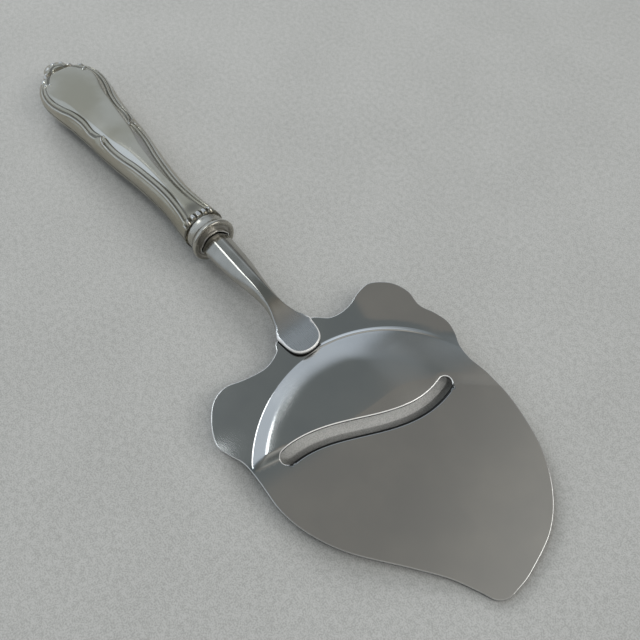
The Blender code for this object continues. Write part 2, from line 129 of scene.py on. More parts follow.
def spline(points, steps, closed=False):
    """Points on a smooth curve through the given ones; the closing span of a closed curve stays straight."""
    points = np.array(points, float)
    count = len(points)
    near = [np.arange(count - 1) + shift for shift in (-1, 0, 1, 2)]
    near = [index % count if closed else np.clip(index, 0, count - 1) for index in near]
    before, start, end, after = (points[index][:, None, :] for index in near)
    t = (np.arange(steps) / steps)[None, :, None]
    curve = 0.5 * (
        2 * start + (end - before) * t + (2 * before - 5 * start + 4 * end - after) * t**2
        + (3 * start - before - 3 * end + after) * t**3
    )
    return np.vstack([curve.reshape(-1, points.shape[1]), points[-1:]])


def segment_distance(x, y, start, end):
    """Distance to a straight line between two points."""
    run_x, run_y = end[0] - start[0], end[1] - start[1]
    share = ((x - start[0]) * run_x + (y - start[1]) * run_y) / (run_x**2 + run_y**2)
    share = np.clip(share, 0.0, 1.0)
    return np.hypot(x - start[0] - share * run_x, y - start[1] - share * run_y)


def line_distance(x, y, line):
    """Distance to a line of many points."""
    away = np.full(x.shape, np.inf)
    for start, end in zip(line, line[1:]):
        away = np.minimum(away, segment_distance(x, y, start, end))
    return away


def slot_line(y):
    """X of the middle of the slot at y."""
    return SLOT_X + SLOT_SWING * np.sin(0.5 * math.pi * (y - SLOT_MIDDLE_Y) / SLOT_QUARTER)


def slot_side(offset):
    """The slot's middle line moved towards the tip by offset."""
    y = np.linspace(SLOT_LEFT, SLOT_RIGHT, SLOT_STEPS + 1)
    middle = np.stack([slot_line(y), y], axis=1)
    run = np.gradient(middle, axis=0)
    run /= np.linalg.norm(run, axis=1)[:, None]
    return middle + offset * np.stack([run[:, 1], -run[:, 0]], axis=1)


rear_lip, cutting_edge = slot_side(-SLOT_GAP / 2.0), slot_side(SLOT_GAP / 2.0)
slot_ends = slot_side(0.0)[[0, -1]]


def half_turn(centre, start):
    """Points of a clockwise half circle from start, without its ends."""
    arm = start - centre
    side = np.array([arm[1], -arm[0]])
    turns = np.linspace(0.0, math.pi, SLOT_END_STEPS + 1)[1:-1, None]
    return centre + arm * np.cos(turns) + side * np.sin(turns)


def from_step(x, y, side):
    """Distance to the line past the left or right end of the slot along which the half moon ends."""
    return segment_distance(x, y, slot_ends[side], STEP_ENDS[side])


def behind_slot(x, y):
    """True on the handle's side of the slot and of the steps beyond its ends."""
    line = slot_line(np.clip(y, SLOT_LEFT, SLOT_RIGHT))
    for side, beyond in ((LEFT, np.minimum(y - SLOT_LEFT, 0.0)), (RIGHT, np.maximum(y - SLOT_RIGHT, 0.0))):
        way = np.array(STEP_ENDS[side]) - slot_ends[side]
        line = line + beyond * way[0] / way[1]
    return x < line


def past_foot(x, y):
    """Distance outwards from the round foot of the half moon."""
    return np.hypot(x - HUMP_FOOT_CENTRE[0], y - HUMP_FOOT_CENTRE[1]) - HUMP_FOOT_RADIUS


def hump_share(x, y):
    """How far up the half moon's slope a point lies: 0 at its foot, 1 on its top."""
    inside = np.maximum(-past_foot(x, y), 0.0)
    beyond = np.hypot(x - HUMP_TOP_CENTRE[0], y - HUMP_TOP_CENTRE[1]) - HUMP_TOP_RADIUS
    return inside / np.maximum(inside + np.maximum(beyond, 0.0), TINY)


climb_shares = np.linspace(0.0, 1.0, CLIMB_STEPS)


def climb_of(slopes):
    """Height, up to 1, along a slope whose steepness is given at some shares of it."""
    height = np.cumsum(np.interp(climb_shares, *np.transpose(slopes)))
    return height / height[-1]


left_climb, rear_climb = climb_of(LEFT_SLOPES), climb_of(REAR_SLOPES)


def whole_hump(x, y):
    """Height of the half moon: a tight crease at its foot, then a short shoulder, softer at the rear."""
    full = smooth((x - HUMP_REAR_X) / (HUMP_FRONT_X - HUMP_REAR_X))
    rise = HUMP_REAR_RISE + (HUMP_RISE - HUMP_REAR_RISE) * full
    rise = rise * (1.0 - HUMP_RIGHT_FALL * smooth((y - HUMP_RIGHT_START) / HUMP_RIGHT_RUN) * full)
    share = hump_share(x, y)
    left, rear = (np.interp(share, climb_shares, climb) for climb in (left_climb, rear_climb))
    return rise * (left + (rear - left) * smooth((y - REAR_START) / REAR_RUN))


def hump(x, y):
    """The half moon behind the slot, ended by a short step down to the leaf past each end of the slot."""
    rise = np.where(behind_slot(x, y), whole_hump(x, y), 0.0)
    for side in (LEFT, RIGHT):
        rise = rise * smooth(from_step(x, y, side) / STEP_RUNS[side])
    return rise


def crease_bead(x, y):
    """A fine bead that the die left along the rear and right of the half moon's foot."""
    turn = np.arctan2(y - HUMP_FOOT_CENTRE[1], HUMP_FOOT_CENTRE[0] - x)
    reach = stretch(turn, BEAD_START, BEAD_FADE, BEAD_END - BEAD_FADE, BEAD_FADE)
    across = past_foot(x, y)
    return BEAD_HEIGHT * reach * bump(across, 0.0, np.where(across > 0.0, BEAD_OUTSIDE, BEAD_INSIDE))


dent_table = spline(DENT_WIDTHS, TABLE_STEPS)


def dent_width(y):
    """How far the flat behind the right half of the slot reaches back from its lip."""
    return np.maximum(np.interp(y, dent_table[:, 0], dent_table[:, 1], 0.0, 0.0), 0.0)


def blade_bottom(x, y):
    """Height of the lower face of the sheet, with all that is pressed into it."""
    ahead = (x - FOLD_X) * math.cos(FOLD_TURN) - y * math.sin(FOLD_TURN)
    bend = (ahead + FOLD_RUN) ** 2 / (4.0 * FOLD_RUN)
    bend = np.where(abs(ahead) < FOLD_RUN, bend, np.maximum(ahead, 0.0))
    height = FOLD_HEIGHT - REAR_SLOPE * ahead - (LEAF_SLOPE - REAR_SLOPE) * bend
    droop = WING_DROOP * (y / BLADE_HALF_WIDTH) ** 2 * smooth(-ahead / WING_DROOP_RUN)
    upturn = UPTURN_SLOPE * soft_ramp(past_foot(x, y) - UPTURN_START, UPTURN_ROUNDING)
    upturn = upturn * smooth((y - UPTURN_LEFT) / UPTURN_RUN)
    wide = dent_width(y)
    into_dent = wide - slot_line(y) + SLOT_GAP / 2.0 + x
    dent = DENT_SLOPE * soft_ramp(into_dent, DENT_ROUNDING) * smooth(wide)
    dent = np.where(behind_slot(x, y), dent, 0.0)
    return height - droop + upturn - dent + hump(x, y) + crease_bead(x, y) - SHEET


def ground_off(x, y):
    """How much the grinding wheel took off the top of the cutting edge."""
    share = np.maximum(0.0, 1.0 - line_distance(x, y, cutting_edge) / EDGE_BEVEL)
    return (SHEET - EDGE_THICKNESS) * np.where(behind_slot(x, y), 0.0, share)


def blade_top(x, y):
    """Height of the upper face of the sheet."""
    return blade_bottom(x, y) + SHEET - ground_off(x, y)


def inside_loop(x, y, loop):
    """True inside a closed loop of points."""
    inside = np.zeros(x.shape, bool)
    for (x0, y0), (x1, y1) in zip(loop, np.roll(loop, -1, axis=0)):
        if y0 != y1:
            inside ^= ((y0 > y) != (y1 > y)) & (x < x0 + (x1 - x0) * (y - y0) / (y1 - y0))
    return inside


def into_sheet(loop):
    """Unit directions from an edge into the sheet, which lies to the left of it."""
    run = np.roll(loop, -1, axis=0) - np.roll(loop, 1, axis=0)
    run /= np.linalg.norm(run, axis=1)[:, None]
    return np.stack([-run[:, 1], run[:, 0]], axis=1)


def face_normals(height, x, y):
    """Unit normals of a surface given by its height."""
    step = 0.02
    slope_x = (height(x + step, y) - height(x - step, y)) / (2.0 * step)
    slope_y = (height(x, y + step) - height(x, y - step)) / (2.0 * step)
    normals = np.stack([-slope_x, -slope_y, np.ones(x.shape)], axis=1)
    return normals / np.linalg.norm(normals, axis=1)[:, None]


def make_piece(name, points, faces, normals=None):
    """One piece from points in millimetres in the frame of the part."""
    mesh = bpy.data.meshes.new(name)
    mesh.from_pydata((points * MM).tolist(), [], faces)
    mesh.shade_smooth()
    if normals is not None:
        mesh.normals_split_custom_set_from_vertices(normals.tolist())
    piece = bpy.data.objects.new(name, mesh)
    bpy.context.collection.objects.link(piece)
    return piece


def points_of(piece):
    """The points of a piece in millimetres."""
    flat = np.empty(len(piece.data.vertices) * 3)
    piece.data.vertices.foreach_get("co", flat)
    return flat.reshape(-1, 3) / MM


def mark(piece, name, values):
    """Stores a number at each point of a piece for its finish to read."""
    layer = piece.data.attributes.new(name, "FLOAT", "POINT")
    layer.data.foreach_set("value", values.astype(np.float32))


def sheet_face(loops, lines, inner):
    """Points and triangles of the flat of a sheet within its first loop and outside the others."""
    edges, first = [], 0
    for loop in loops:
        edges += [(first + i, first + (i + 1) % len(loop)) for i in range(len(loop))]
        first += len(loop)
    for line in lines:
        edges += [(first + i, first + i + 1) for i in range(len(line) - 1)]
        first += len(line)
    plan = [Vector(point) for point in np.vstack([*loops, *lines, inner])]
    flat, _, triangles, _, _, _ = delaunay_2d_cdt(plan, edges, [], 0, SAME_POINT)
    flat, triangles = np.array(flat), np.array(triangles)
    middle_x, middle_y = flat[triangles].mean(axis=1).T
    kept = inside_loop(middle_x, middle_y, loops[0])
    for loop in loops[1:]:
        kept &= ~inside_loop(middle_x, middle_y, loop)
    return flat, triangles[kept]


def sheet_piece(name, loops, lines, inner, top, bottom, rim_radius, start_x):
    """A closed sheet between two heights, its edges rounded over; loops are its edges, lines its creases."""
    flat, triangles = sheet_face([loop + rim_radius * into_sheet(loop) for loop in loops], lines, inner)
    x, y, count = flat[:, 0], flat[:, 1], len(flat)
    points = [np.column_stack([flat, top(x, y)]), np.column_stack([flat, bottom(x, y)])]
    normals = [face_normals(top, x, y), -face_normals(bottom, x, y)]
    faces = triangles.tolist() + (triangles[:, ::-1] + count).tolist()
    start, total = 0, 2 * count
    for loop in loops:
        size, inward = len(loop), into_sheet(loop)
        rings = [np.arange(size) + start]
        x, y = loop[:, 0], loop[:, 1]
        thin = np.minimum(rim_radius, RIM_SHARE * (top(x, y) - bottom(x, y)))
        for side, height in ((1, top), (-1, bottom)):
            for turn in RIM_TURNS[::side]:
                lean, up = math.cos(math.radians(turn)), math.sin(math.radians(turn))
                at = loop + rim_radius * (1.0 - lean) * inward
                level = height(at[:, 0], at[:, 1]) - side * thin * (1.0 - up)
                points.append(np.column_stack([at, level]))
                normal = side * up * face_normals(height, at[:, 0], at[:, 1])
                normal[:, :2] -= lean * inward
                normals.append(normal / np.linalg.norm(normal, axis=1)[:, None])
                rings.append(np.arange(size) + total)
                total += size
        rings.append(np.arange(size) + start + count)
        for ring, after in zip(rings, rings[1:]):
            turned, turned_after = np.roll(ring, -1), np.roll(after, -1)
            faces += np.stack([ring, after, turned_after, turned], axis=1).tolist()
        start += size
    return make_piece(name, np.vstack(points) + (start_x, 0.0, 0.0), faces, np.vstack(normals))


def clear_grid(loops, lines, spacing, room):
    """Points of a plain grid inside the first loop and outside the others, clear of edges and creases."""
    low, high = loops[0].min(axis=0), loops[0].max(axis=0)
    row_height = ROW_SHARE * spacing
    across, along = int((high[1] - low[1]) / row_height), int((high[0] - low[0]) / spacing)
    columns, rows = np.meshgrid(np.arange(along + 1), np.arange(across + 1))
    x = low[0] + (columns + 0.5 * (rows % 2)).ravel() * spacing
    y = low[1] + row_height * rows.ravel()
    clear = inside_loop(x, y, loops[0] + room * into_sheet(loops[0]))
    for loop in loops[1:]:
        clear &= ~inside_loop(x, y, loop + room * into_sheet(loop))
    x, y = x[clear], y[clear]
    for line in lines:
        for point in line:
            clear = np.hypot(x - point[0], y - point[1]) > room
            x, y = x[clear], y[clear]
    return np.column_stack([x, y])


blade_edge = spline(BLADE_OUTLINE, OUTLINE_STEPS, closed=True)
blade_edge += HAIR * into_sheet(blade_edge)
right_end, left_end = half_turn(slot_ends[RIGHT], rear_lip[-1]), half_turn(slot_ends[LEFT], cutting_edge[0])
slot_edge = np.vstack([rear_lip, right_end, cutting_edge[::-1], left_end])
blade_loops = [blade_edge, slot_edge]
inner_edge, inner_slot = (loop + EDGE_ROOM * into_sheet(loop) for loop in blade_loops)

# Creases of the sheet: the ground edge, the flat behind the slot, the half moon's slope and the two steps
blade_lines = [slot_side(SLOT_GAP / 2.0 + share * EDGE_BEVEL)[TRIMMED] for share in BEVEL_LINES]
dent_y = np.arange(DENT_LINE_START, DENT_LINE_END, FINE)
dent_x = slot_line(dent_y) - SLOT_GAP / 2.0 - dent_width(dent_y)
blade_lines += [np.column_stack([dent_x + offset, dent_y]) for offset in DENT_LINES]
hump_turns = np.arange(0.5 * math.pi, 1.5 * math.pi, FINE / HUMP_FOOT_RADIUS)
hump_ways = np.column_stack([np.cos(hump_turns), np.sin(hump_turns)])
for share in SLOPE_LINES:
    middle = np.array(HUMP_FOOT_CENTRE) * (1.0 - share) + np.array(HUMP_TOP_CENTRE) * share
    radius = HUMP_FOOT_RADIUS * (1.0 - share) + HUMP_TOP_RADIUS * share
    arc = middle + radius * hump_ways
    x, y = arc[:, 0], arc[:, 1]
    kept = behind_slot(x, y) & inside_loop(x, y, inner_edge) & ~inside_loop(x, y, inner_slot)
    kept &= (from_step(x, y, LEFT) > EDGE_ROOM) & (from_step(x, y, RIGHT) > STEP_RUNS[RIGHT] + EDGE_ROOM)
    arc = arc[kept]
    breaks = np.nonzero(np.linalg.norm(np.diff(arc, axis=0), axis=1) > 2.0 * FINE)[0] + 1
    blade_lines += [run for run in np.split(arc, breaks) if len(run) > 2]
for side, rearward in ((LEFT, 1.0), (RIGHT, -1.0)):
    way = np.array(STEP_ENDS[side]) - slot_ends[side]
    length = np.linalg.norm(way)
    way /= length
    across = rearward * STEP_RUNS[side] * np.array([way[1], -way[0]])
    along = np.arange(SLOT_GAP / 2.0 + EDGE_ROOM, length - 2.0 * EDGE_ROOM, 0.5 * FINE)[:, None]
    for offset in STEP_LINES:
        line = slot_ends[side] + along * way + offset * across
        blade_lines.append(line[inside_loop(line[:, 0], line[:, 1], inner_edge)])

fine_points = clear_grid(blade_loops, blade_lines, FINE, EDGE_ROOM)
x, y = fine_points[:, 0], fine_points[:, 1]
near_step = np.minimum(from_step(x, y, LEFT), from_step(x, y, RIGHT)) < STEP_RUNS[RIGHT] + EDGE_ROOM
fine_points = fine_points[near_step]
coarse_points = clear_grid(blade_loops, [*blade_lines, fine_points], COARSE, EDGE_ROOM)
blade_inner = np.vstack([fine_points, coarse_points])
blade = sheet_piece(
    "slicer_blade", blade_loops, blade_lines, blade_inner, blade_top, blade_bottom, RIM_RADIUS, NECK_X
)

# Where the finish of the sheet changes: the brushed slope; painted highlights on the bead and the rims; dark
# rough cut sides with painted shade on them; painted shade on the ground edge and the left step
CUT_START, CUT_DEPTH, GROUND_DEPTH = 0.16, 0.12, 0.03
RIM_TOP, RIM_FOOT, OUTLINE_PAINTED_HIGHLIGHT, LIP_PAINTED_HIGHLIGHT = 0.01, 0.2, (0.5, 0.25), (1.0, 1.0)
STEP_SHADE_RISE, STEP_SHADE_TOP = 3.0, 0.2
x, y, z = (points_of(blade) - (NECK_X, 0.0, 0.0)).T
rear_part = behind_slot(x, y)
below_top = blade_top(x, y) - z
# Painted shade: the ground edge is coloured near black, and the cut sides are dark rough steel with painted
# shade added on them
ground = smooth(ground_off(x, y) / GROUND_DEPTH)
cut = smooth((np.minimum(below_top, z - blade_bottom(x, y)) - CUT_START) / CUT_DEPTH)
# Painted highlight: the rounded top of the outline and of the slot's rear lip gets a pale, less metallic
# colour that stands in for glints, and none on the ground edge
rim_highlight = np.zeros(x.shape)
for loop, (rear_highlight, leaf_highlight) in zip(blade_loops, (OUTLINE_PAINTED_HIGHLIGHT, LIP_PAINTED_HIGHLIGHT)):
    on_rim = line_distance(x, y, np.vstack([loop, loop[:1]])) < RIM_RADIUS + HAIR
    on_rim &= (below_top > RIM_TOP) & (below_top < RIM_FOOT)
    rim_highlight += on_rim * np.where(rear_part, rear_highlight, leaf_highlight)
# Painted shade: a darker band on the half moon's side of the step past the left end of the slot
step_share = from_step(x, y, LEFT) / STEP_RUNS[LEFT] * rear_part
mark(blade, "slope", np.where(rear_part, hump_share(x, y), 0.0))
# Painted highlight: the bead along the half moon's foot is coloured near white
mark(blade, "bead", crease_bead(x, y) / BEAD_HEIGHT)
mark(blade, "cut", np.maximum(cut, ground))
mark(blade, "rim_highlight", rim_highlight * (1.0 - ground))
mark(blade, "step", smooth(STEP_SHADE_RISE * step_share) * (1.0 - smooth(step_share - STEP_SHADE_TOP)))


class Tone:
    """A value on a surface: a socket of a material's nodes that takes part in sums as a number does."""

    # Numbers of a Mix node's sockets for colours
    MIX_LOW, MIX_HIGH, MIX_COLOUR = 6, 7, 2

    def __init__(self, tree, socket):
        self.tree, self.socket = tree, socket

    @classmethod
    def node(cls, tree, kind, settings, sockets, output=0):
        """The output of a new node with these settings and these values or links of its sockets."""
        made = tree.nodes.new("ShaderNode" + kind)
        for name, value in settings.items():
            setattr(made, name, value)
        for name, value in sockets.items():
            if isinstance(value, Tone):
                tree.links.new(value.socket, made.inputs[name])
            else:
                made.inputs[name].default_value = value
        return cls(tree, made.outputs[output])

    def math(self, operation, first, second):
        """The result of one sum."""
        return Tone.node(self.tree, "Math", {"operation": operation}, {0: first, 1: second})

    def __add__(self, other):
        return self.math("ADD", self, other)

    def __sub__(self, other):
        return self.math("SUBTRACT", self, other)

    def __rsub__(self, other):
        return self.math("SUBTRACT", other, self)

    def __mul__(self, other):
        return self.math("MULTIPLY", self, other)

    __radd__ = __add__
    __rmul__ = __mul__

    def between(self, low, high):
        """0 below low, 1 above high, and smooth in between."""
        sockets = {"Value": self, "From Min": low, "From Max": high}
        return Tone.node(self.tree, "MapRange", {"interpolation_type": "SMOOTHSTEP"}, sockets)

    def blend(self, low, high):
        """A colour that goes from low to high as this value goes from 0 to 1."""
        low, high = (colour if isinstance(colour, Tone) else (*colour, 1.0) for colour in (low, high))
        sockets = {0: self, Tone.MIX_LOW: low, Tone.MIX_HIGH: high}
        return Tone.node(self.tree, "Mix", {"data_type": "RGBA"}, sockets, Tone.MIX_COLOUR)

    def axis(self, name):
        """One axis of this vector."""
        return Tone.node(self.tree, "SeparateXYZ", {}, {"Vector": self}, name)

    def stretched(self, x, y, z):
        """This vector with each axis multiplied."""
        return Tone.node(self.tree, "VectorMath", {"operation": "MULTIPLY"}, {0: self, 1: (x, y, z)})

    def noise(self, scale, detail):
        """Soft random mottling at this vector, 0 to 1."""
        return Tone.node(self.tree, "TexNoise", {}, {"Vector": self, "Scale": scale, "Detail": detail})


def new_finish(name, metallic=1.0):
    """A fresh finish, with its shader and the place on the part in millimetres."""
    finish = bpy.data.materials.new(name)
    finish.use_nodes = True
    shader = finish.node_tree.nodes["Principled BSDF"]
    shader.inputs["Metallic"].default_value = metallic
    metres = Tone.node(finish.node_tree, "TexCoord", {}, {}, "Object")
    return finish, shader, metres.stretched(1.0 / MM, 1.0 / MM, 1.0 / MM)


def marked(finish, name):
    """The number that mark stored under this name."""
    return Tone.node(finish.node_tree, "Attribute", {"attribute_name": name}, {}, "Fac")


def dress(finish, shader, colour, roughness, height, depth, metallic=None):
    """Joins colour, roughness and a bump of that depth in mm to a shader, and metal where it varies."""
    tree = finish.node_tree
    relief = Tone.node(tree, "Bump", {}, {"Height": height, "Strength": 1.0, "Distance": depth * MM})
    joined = {"Base Color": colour, "Roughness": roughness, "Normal": relief, "Metallic": metallic}
    for name, tone in joined.items():
        if tone is not None:
            tree.links.new(tone.socket, shader.inputs[name])


BLADE_STEEL = ((0.55, 0.555, 0.55), (0.60, 0.60, 0.585))
# Painted shade for the left step, painted highlight for the bead, and near black for the cut sides and
# ground edge, which is partly their rough steel and partly painted shade
STEP_PAINTED_SHADE, BEAD_PAINTED_HIGHLIGHT, CUT_DARK_AND_PAINTED_SHADE = (0.27, 0.30, 0.31), (0.92, 0.92, 0.91), (0.05, 0.05, 0.048)
# Painted highlight for the rims: a near white, partly not metal, so that the lamps light it like a glint
RIM_PAINTED_HIGHLIGHT, PAINTED_HIGHLIGHT_WHITENESS = (0.86, 0.86, 0.85), 0.8


def blade_finish():
    """Bright rolled sheet: grain along it, brush marks on the pressed slope and soft smears, with painted
    highlights on the rims and the bead and painted shade on the cut sides, the ground edge and the left
    step.
    """
    finish, shader, place = new_finish("blade_steel_finish")
    slope, bead, step, cut, rim_highlight = (marked(finish, name) for name in ("slope", "bead", "step", "cut", "rim_highlight"))
    grain = place.stretched(0.03, 1.0, 1.0).noise(5.0, 3.0)
    smears = place.noise(0.06, 3.0)
    brushed = slope.between(0.0, 0.15) * (1.0 - slope.between(0.55, 0.95))
    sideways = place.axis("Y") - HUMP_FOOT_CENTRE[1]
    forward = place.axis("X") - (NECK_X + HUMP_FOOT_CENTRE[0])
    around = forward.math("ARCTAN2", sideways, forward) * HUMP_FOOT_RADIUS
    marks = Tone.node(finish.node_tree, "CombineXYZ", {}, {"X": around, "Y": slope}).noise(2.2, 3.0)
    colour = smears.between(0.35, 0.7).blend(*BLADE_STEEL)
    for share, steel in ((step, STEP_PAINTED_SHADE), (bead, BEAD_PAINTED_HIGHLIGHT), (cut, CUT_DARK_AND_PAINTED_SHADE), (rim_highlight, RIM_PAINTED_HIGHLIGHT)):
        colour = share.blend(colour, steel)
    roughness = 0.07 + 0.04 * smears + 0.03 * grain + brushed * (0.04 + 0.12 * marks) + 0.3 * cut
    dress(finish, shader, colour, roughness, grain * 0.3 + brushed * marks, 0.012, 1.0 - PAINTED_HIGHLIGHT_WHITENESS * rim_highlight)
    return finish


blade.data.materials.append(blade_finish())
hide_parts("blade")
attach(blade, "root")

# Shank
# One forging of polished stainless steel: a flat tang in the handle, a stem ground to a narrow strip with a
# facet on each side, and a spade with a bevelled edge that lies on the blade, where it is welded.

TANG_LENGTH, TANG_HALF_WIDTH, TANG_STEP, SHOULDER = 34.0, 2.2, 2.0, 0.5
SPADE_LENGTH, SPADE_HALF_WIDTH, SPADE_TIP_HALF_WIDTH = 7.9, 5.45, 4.6
SPADE_ROUNDNESS, SPADE_STEPS, SPADE_CROWDING = 5, 30, 0.6
SPADE_RUN, SPADE_TILT, TILT_RUN = 2.0, 0.06, 9.0
SPADE_BEVEL, SPADE_BEVEL_SLOPE, SPADE_BEVEL_LINES = 0.35, 0.8, (1.0, 1.3)
SHANK_RIDGE = (
    (0.0, 0.7), (7.0, 0.7), (19.0, 0.95), (26.0, 1.1), (30.0, 1.35), (34.0, 2.0), (38.0, 3.7), (41.0, 5.4),
    (50.0, 5.4),
)
RIDGE_ROUNDING, RIDGE_LINES, RIDGE_LINE_END = 0.25, (-1.0, -0.33, 0.33, 1.0), STEM_LENGTH - 3.0
FACET_FALL, FACET_CURVE, BELLY_FALL, BELLY_RUN = 1.0, 1.8, 0.5, 6.0
SHANK_RIM, SHANK_GRID, SHANK_ROOM = 0.25, 0.5, 0.45
SPADE_EDGE_DEPTH, BEVEL_HIGHLIGHT_FADE = 0.2, 0.1
SHANK_STEEL = ((0.38, 0.37, 0.335), (0.44, 0.43, 0.395))
# The near-black colour is painted shade on the spade's side wall
SPADE_STEEL, SPADE_WALL_SHADE = (0.57, 0.585, 0.60), (0.05, 0.048, 0.045)
MOUTH_X = NECK_X - STEM_LENGTH


def rings_of(node):
    """Each ring of a CAD piece: its X, half width, lowest and highest point in millimetres."""
    found = {}
    for x, y, z in points_of(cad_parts[node]):
        found.setdefault(round(x, 1), []).append((x, abs(y), z))
    rings = [np.array(found[key]) for key in sorted(found)]
    return np.array([[ring[0, 0], ring[:, 1].max(), ring[:, 2].min(), ring[:, 2].max()] for ring in rings])


def read(table, x, column):
    """A column of a table at x, which is its first column."""
    return np.interp(x, table[:, 0], table[:, column])


def near_spade(x, run):
    """0 along the stem, easing to 1 over a run up to the spade."""
    return smooth((x - STEM_LENGTH + run) / run)


shank_rings = rings_of("shank")
shank_rings[:, 0] -= MOUTH_X
is_tang = shank_rings[:, 0] < SHOULDER
shank_table = np.vstack([shank_rings[is_tang], spline(shank_rings[~is_tang], TABLE_STEPS)])
ridge_table = spline(SHANK_RIDGE, TABLE_STEPS)
tang_x = np.arange(-TANG_LENGTH, SHOULDER, TANG_STEP)
stem_x = np.arange(SHOULDER + SHANK_GRID, STEM_LENGTH, SHANK_GRID)
spade_share = np.sin(np.linspace(0.0, 0.5 * math.pi, SPADE_STEPS)[:-1]) ** SPADE_CROWDING
spade_x = STEM_LENGTH + SPADE_LENGTH * spade_share
spade_y = SPADE_HALF_WIDTH + (SPADE_TIP_HALF_WIDTH - SPADE_HALF_WIDTH) * spade_share
spade_y = spade_y * np.sqrt(1.0 - spade_share**SPADE_ROUNDNESS)
left_side = np.vstack([
    np.column_stack([tang_x, np.full(tang_x.shape, -TANG_HALF_WIDTH)]),
    np.column_stack([stem_x, -read(shank_table, stem_x, 1)]),
    np.column_stack([spade_x, -spade_y]),
])
shank_edge = np.vstack([left_side, [[STEM_LENGTH + SPADE_LENGTH, 0.0]], left_side[::-1] * (1, -1)])


def spade_room(x, y):
    """Distance from a point on the spade to its edge."""
    return line_distance(x, y, shank_edge[shank_edge[:, 0] > STEM_LENGTH - SPADE_RUN])


def shank_top(x, y):
    """A flat strip between two ridges, and a facet down from each to the side."""
    wide, low, high = (read(shank_table, x, column) for column in (1, 2, 3))
    ridge = np.minimum(read(ridge_table, x, 1), wide)
    on_spade = near_spade(x, SPADE_RUN)
    fall = 0.5 * (high - low) * FACET_FALL * (1.0 - on_spade)
    high = high - SPADE_TILT * np.maximum(STEM_LENGTH + SPADE_LENGTH - x, 0.0) * near_spade(x, TILT_RUN)
    bevel = SPADE_BEVEL_SLOPE * np.maximum(0.0, SPADE_BEVEL - spade_room(x, y)) * on_spade
    across = soft_ramp(abs(y) - ridge, RIDGE_ROUNDING) / np.maximum(wide - ridge, SHANK_RIM)
    return high - bevel - fall * across**FACET_CURVE


def shank_bottom(x, y):
    """A rounded belly under the stem that runs out to a flat under the spade."""
    wide, low, high = (read(shank_table, x, column) for column in (1, 2, 3))
    belly = 0.5 * (high - low) * BELLY_FALL * (1.0 - near_spade(x, BELLY_RUN))
    return low + belly * np.minimum(abs(y) / wide, 1.0) ** 2


ridge_x = np.arange(SHOULDER + 2.0 * SHANK_GRID, RIDGE_LINE_END, SHANK_GRID)
shank_lines = []
for shift in RIDGE_LINES:
    ridge_y = read(ridge_table, ridge_x, 1) + shift * RIDGE_ROUNDING
    clear = ridge_y < read(shank_table, ridge_x, 1) - 2.0 * SHANK_RIM
    shank_lines += [np.column_stack([ridge_x, side * ridge_y])[clear] for side in (-1, 1)]
spade_rim = shank_edge[(shank_edge[:, 0] > STEM_LENGTH) & (abs(shank_edge[:, 1]) < SPADE_HALF_WIDTH)]
for share in SPADE_BEVEL_LINES:
    shank_lines.append((spade_rim + share * SPADE_BEVEL * into_sheet(spade_rim))[TRIMMED])
shank_inner = clear_grid([shank_edge], shank_lines, SHANK_GRID, SHANK_ROOM)
shank = sheet_piece(
    "slicer_shank", [shank_edge], shank_lines, shank_inner, shank_top, shank_bottom, SHANK_RIM, MOUTH_X
)
x, y, z = (points_of(shank) - (MOUTH_X, 0.0, 0.0)).T
on_spade = near_spade(x, SPADE_RUN)
below_top = shank_top(x, y) - z
past_bevel = smooth((spade_room(x, y) - SPADE_BEVEL) / BEVEL_HIGHLIGHT_FADE)
mark(shank, "spade", near_spade(x, TILT_RUN))
# Painted shade: the spade's side wall below the bevel is coloured near black
mark(shank, "wall_shade", on_spade * smooth((below_top - SPADE_EDGE_DEPTH) / SPADE_EDGE_DEPTH))
# Painted highlight: the spade's bevel gets the same pale, less metallic colour as the blade's rims
mark(shank, "rim_highlight", on_spade * (below_top < SPADE_EDGE_DEPTH) * (1.0 - past_bevel))


def shank_finish():
    """Polished steel: faint lines along the stem, a satin spade with a painted white highlight on its bevel
    and painted shade on its side wall.
    """
    finish, shader, place = new_finish("shank_steel_finish")
    spade, wall_shade, rim_highlight = (marked(finish, name) for name in ("spade", "wall_shade", "rim_highlight"))
    lines = place.stretched(0.04, 1.0, 1.0).noise(6.0, 3.0)
    smears = place.noise(0.2, 2.0)
    colour = smears.between(0.3, 0.7).blend(*SHANK_STEEL)
    for share, steel in ((spade, SPADE_STEEL), (wall_shade, SPADE_WALL_SHADE), (rim_highlight, RIM_PAINTED_HIGHLIGHT)):
        colour = share.blend(colour, steel)
    roughness = 0.13 + 0.05 * smears + 0.05 * lines + 0.1 * spade + 0.3 * wall_shade
    dress(finish, shader, colour, roughness, lines, 0.006, 1.0 - PAINTED_HIGHLIGHT_WHITENESS * rim_highlight)
    return finish


shank.data.materials.append(shank_finish())
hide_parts("shank")
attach(shank, "root")

# Handle core
# Grey cement poured into the hollow handle round the tang, which it holds fast. It keeps the plain shape of
# the frame, because it shows nowhere.

CEMENT = ((0.26, 0.23, 0.20), (0.42, 0.38, 0.33))


def core_finish():
    """Set cement: fine sandy grain and a few darker pores."""
    finish, shader, place = new_finish("core_cement_finish", metallic=0.0)
    sand, pores = place.noise(4.0, 4.0), place.noise(1.5, 2.0)
    colour = (0.6 * sand + 0.4 * pores.between(0.3, 0.5)).blend(*CEMENT)
    dress(finish, shader, colour, 0.85 + 0.1 * sand, sand, 0.2)
    return finish


handle_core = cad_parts["handle_core"]
handle_core.data.materials.clear()
handle_core.data.materials.append(core_finish())

# Handle shells
# Two thin silver halves, stamped in dies and soldered along the seam, each with a double thread border that
# breaks into a small scroll at the waist, a shell of beads at the butt and a row of flutes at the mouth.
# X is measured from the butt.

